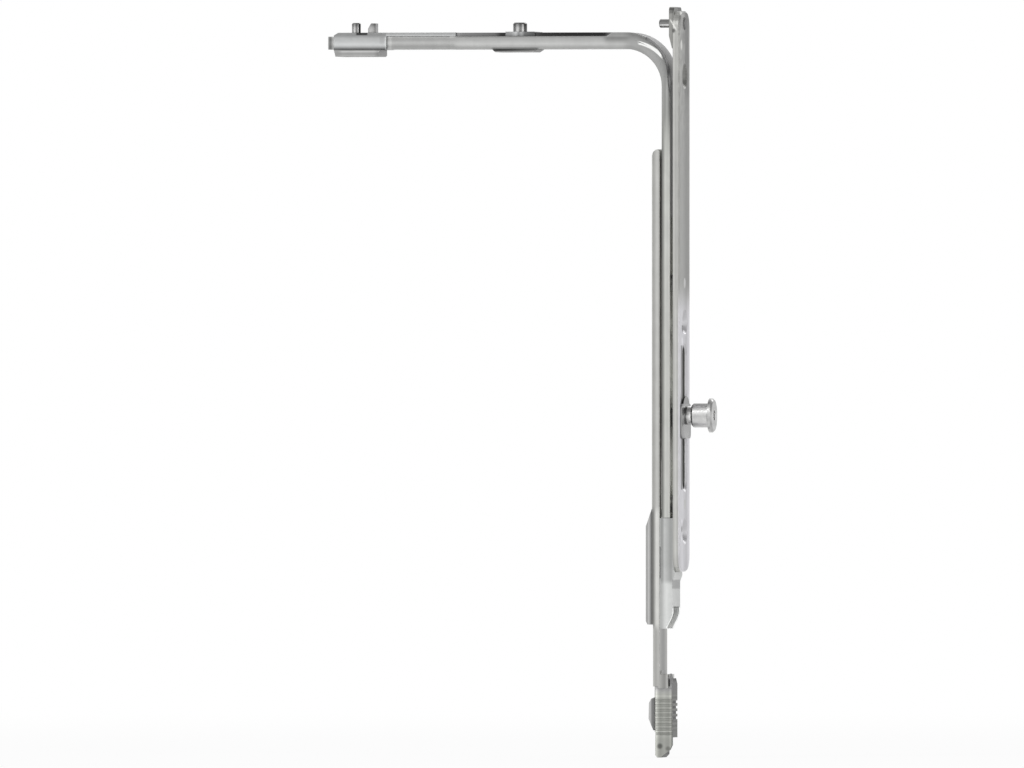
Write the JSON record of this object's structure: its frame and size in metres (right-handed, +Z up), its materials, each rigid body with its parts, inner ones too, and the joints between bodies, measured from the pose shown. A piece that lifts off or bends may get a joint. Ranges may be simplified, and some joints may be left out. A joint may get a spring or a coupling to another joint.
{
  "type": "espagnolette corner drive",
  "caption": "Corner drive for a window espagnolette: a forend with a mushroom cam, a drive rod, a channel bent round the corner with spring bands, and a slider with studs.",
  "frame": {"origin": "on the axis of the upper fixing-screw hole, in the back face of the forend", "axes": "+X out of the forend towards the frame, +Z up the forend towards the corner, Y across the hardware groove"},
  "size_m": [0.1135, 0.016, 0.2172],
  "materials": {
    "zinc_plated_steel": "bright zinc plating with a satin grain",
    "spring_steel": "dark hardened spring steel",
    "die_casting": "silver passivated zinc die casting",
    "turned_steel": "bright zinc plated turned steel"
  },
  "bodies": {
    "housing": {"forend": "zinc_plated_steel", "locating_plate": "zinc_plated_steel", "locating_pin": "turned_steel", "forend_rivets": "zinc_plated_steel", "corner_channel": "zinc_plated_steel", "channel_rivets": "zinc_plated_steel", "corner_band": "spring_steel", "rod_guide": "die_casting", "rod_guide_pad": "die_casting", "guide_rivet": "zinc_plated_steel"},
    "rod": {"drive_rod": "zinc_plated_steel", "rod_band": "spring_steel", "rod_band_rivets": "zinc_plated_steel", "coupling_block": "die_casting", "coupling_clamp": "die_casting", "coupling_back_pad": "die_casting", "coupling_rivets": "zinc_plated_steel"},
    "slider": {"slider_block": "die_casting", "slider_pad": "zinc_plated_steel", "slide_bar": "zinc_plated_steel", "slide_band": "spring_steel", "slide_band_rivets": "zinc_plated_steel", "outer_stud_pin": "turned_steel", "coupling_hook": "turned_steel", "guide_stud_pin": "turned_steel", "guide_stud_clip": "die_casting", "guide_stud_plate": "zinc_plated_steel"},
    "cam": {"cam_pin": "turned_steel", "cam_head": "turned_steel"},
    "roller": {"cam_roller": "turned_steel"}
  },
  "joints": [
    {"name": "rod_slide", "type": "slide", "parent": "housing", "child": "rod", "axis": [0, 0, 1], "range_m": [-0.018, 0.018]},
    {"name": "leg_slide", "type": "slide", "parent": "housing", "child": "slider", "axis": [-1, 0, 0], "range_m": [-0.018, 0.018]},
    {"name": "cam_adjust", "type": "hinge", "parent": "rod", "child": "cam", "pos_m": [0, 0, -0.0989], "axis": [1, 0, 0], "continuous": true},
    {"name": "roller_spin", "type": "hinge", "parent": "cam", "child": "roller", "pos_m": [0.0068, 0, -0.0983], "axis": [1, 0, 0], "continuous": true}
  ],
  "couplings": [
    {"joint": "leg_slide", "follows": "rod_slide", "ratio": 1}
  ]
}
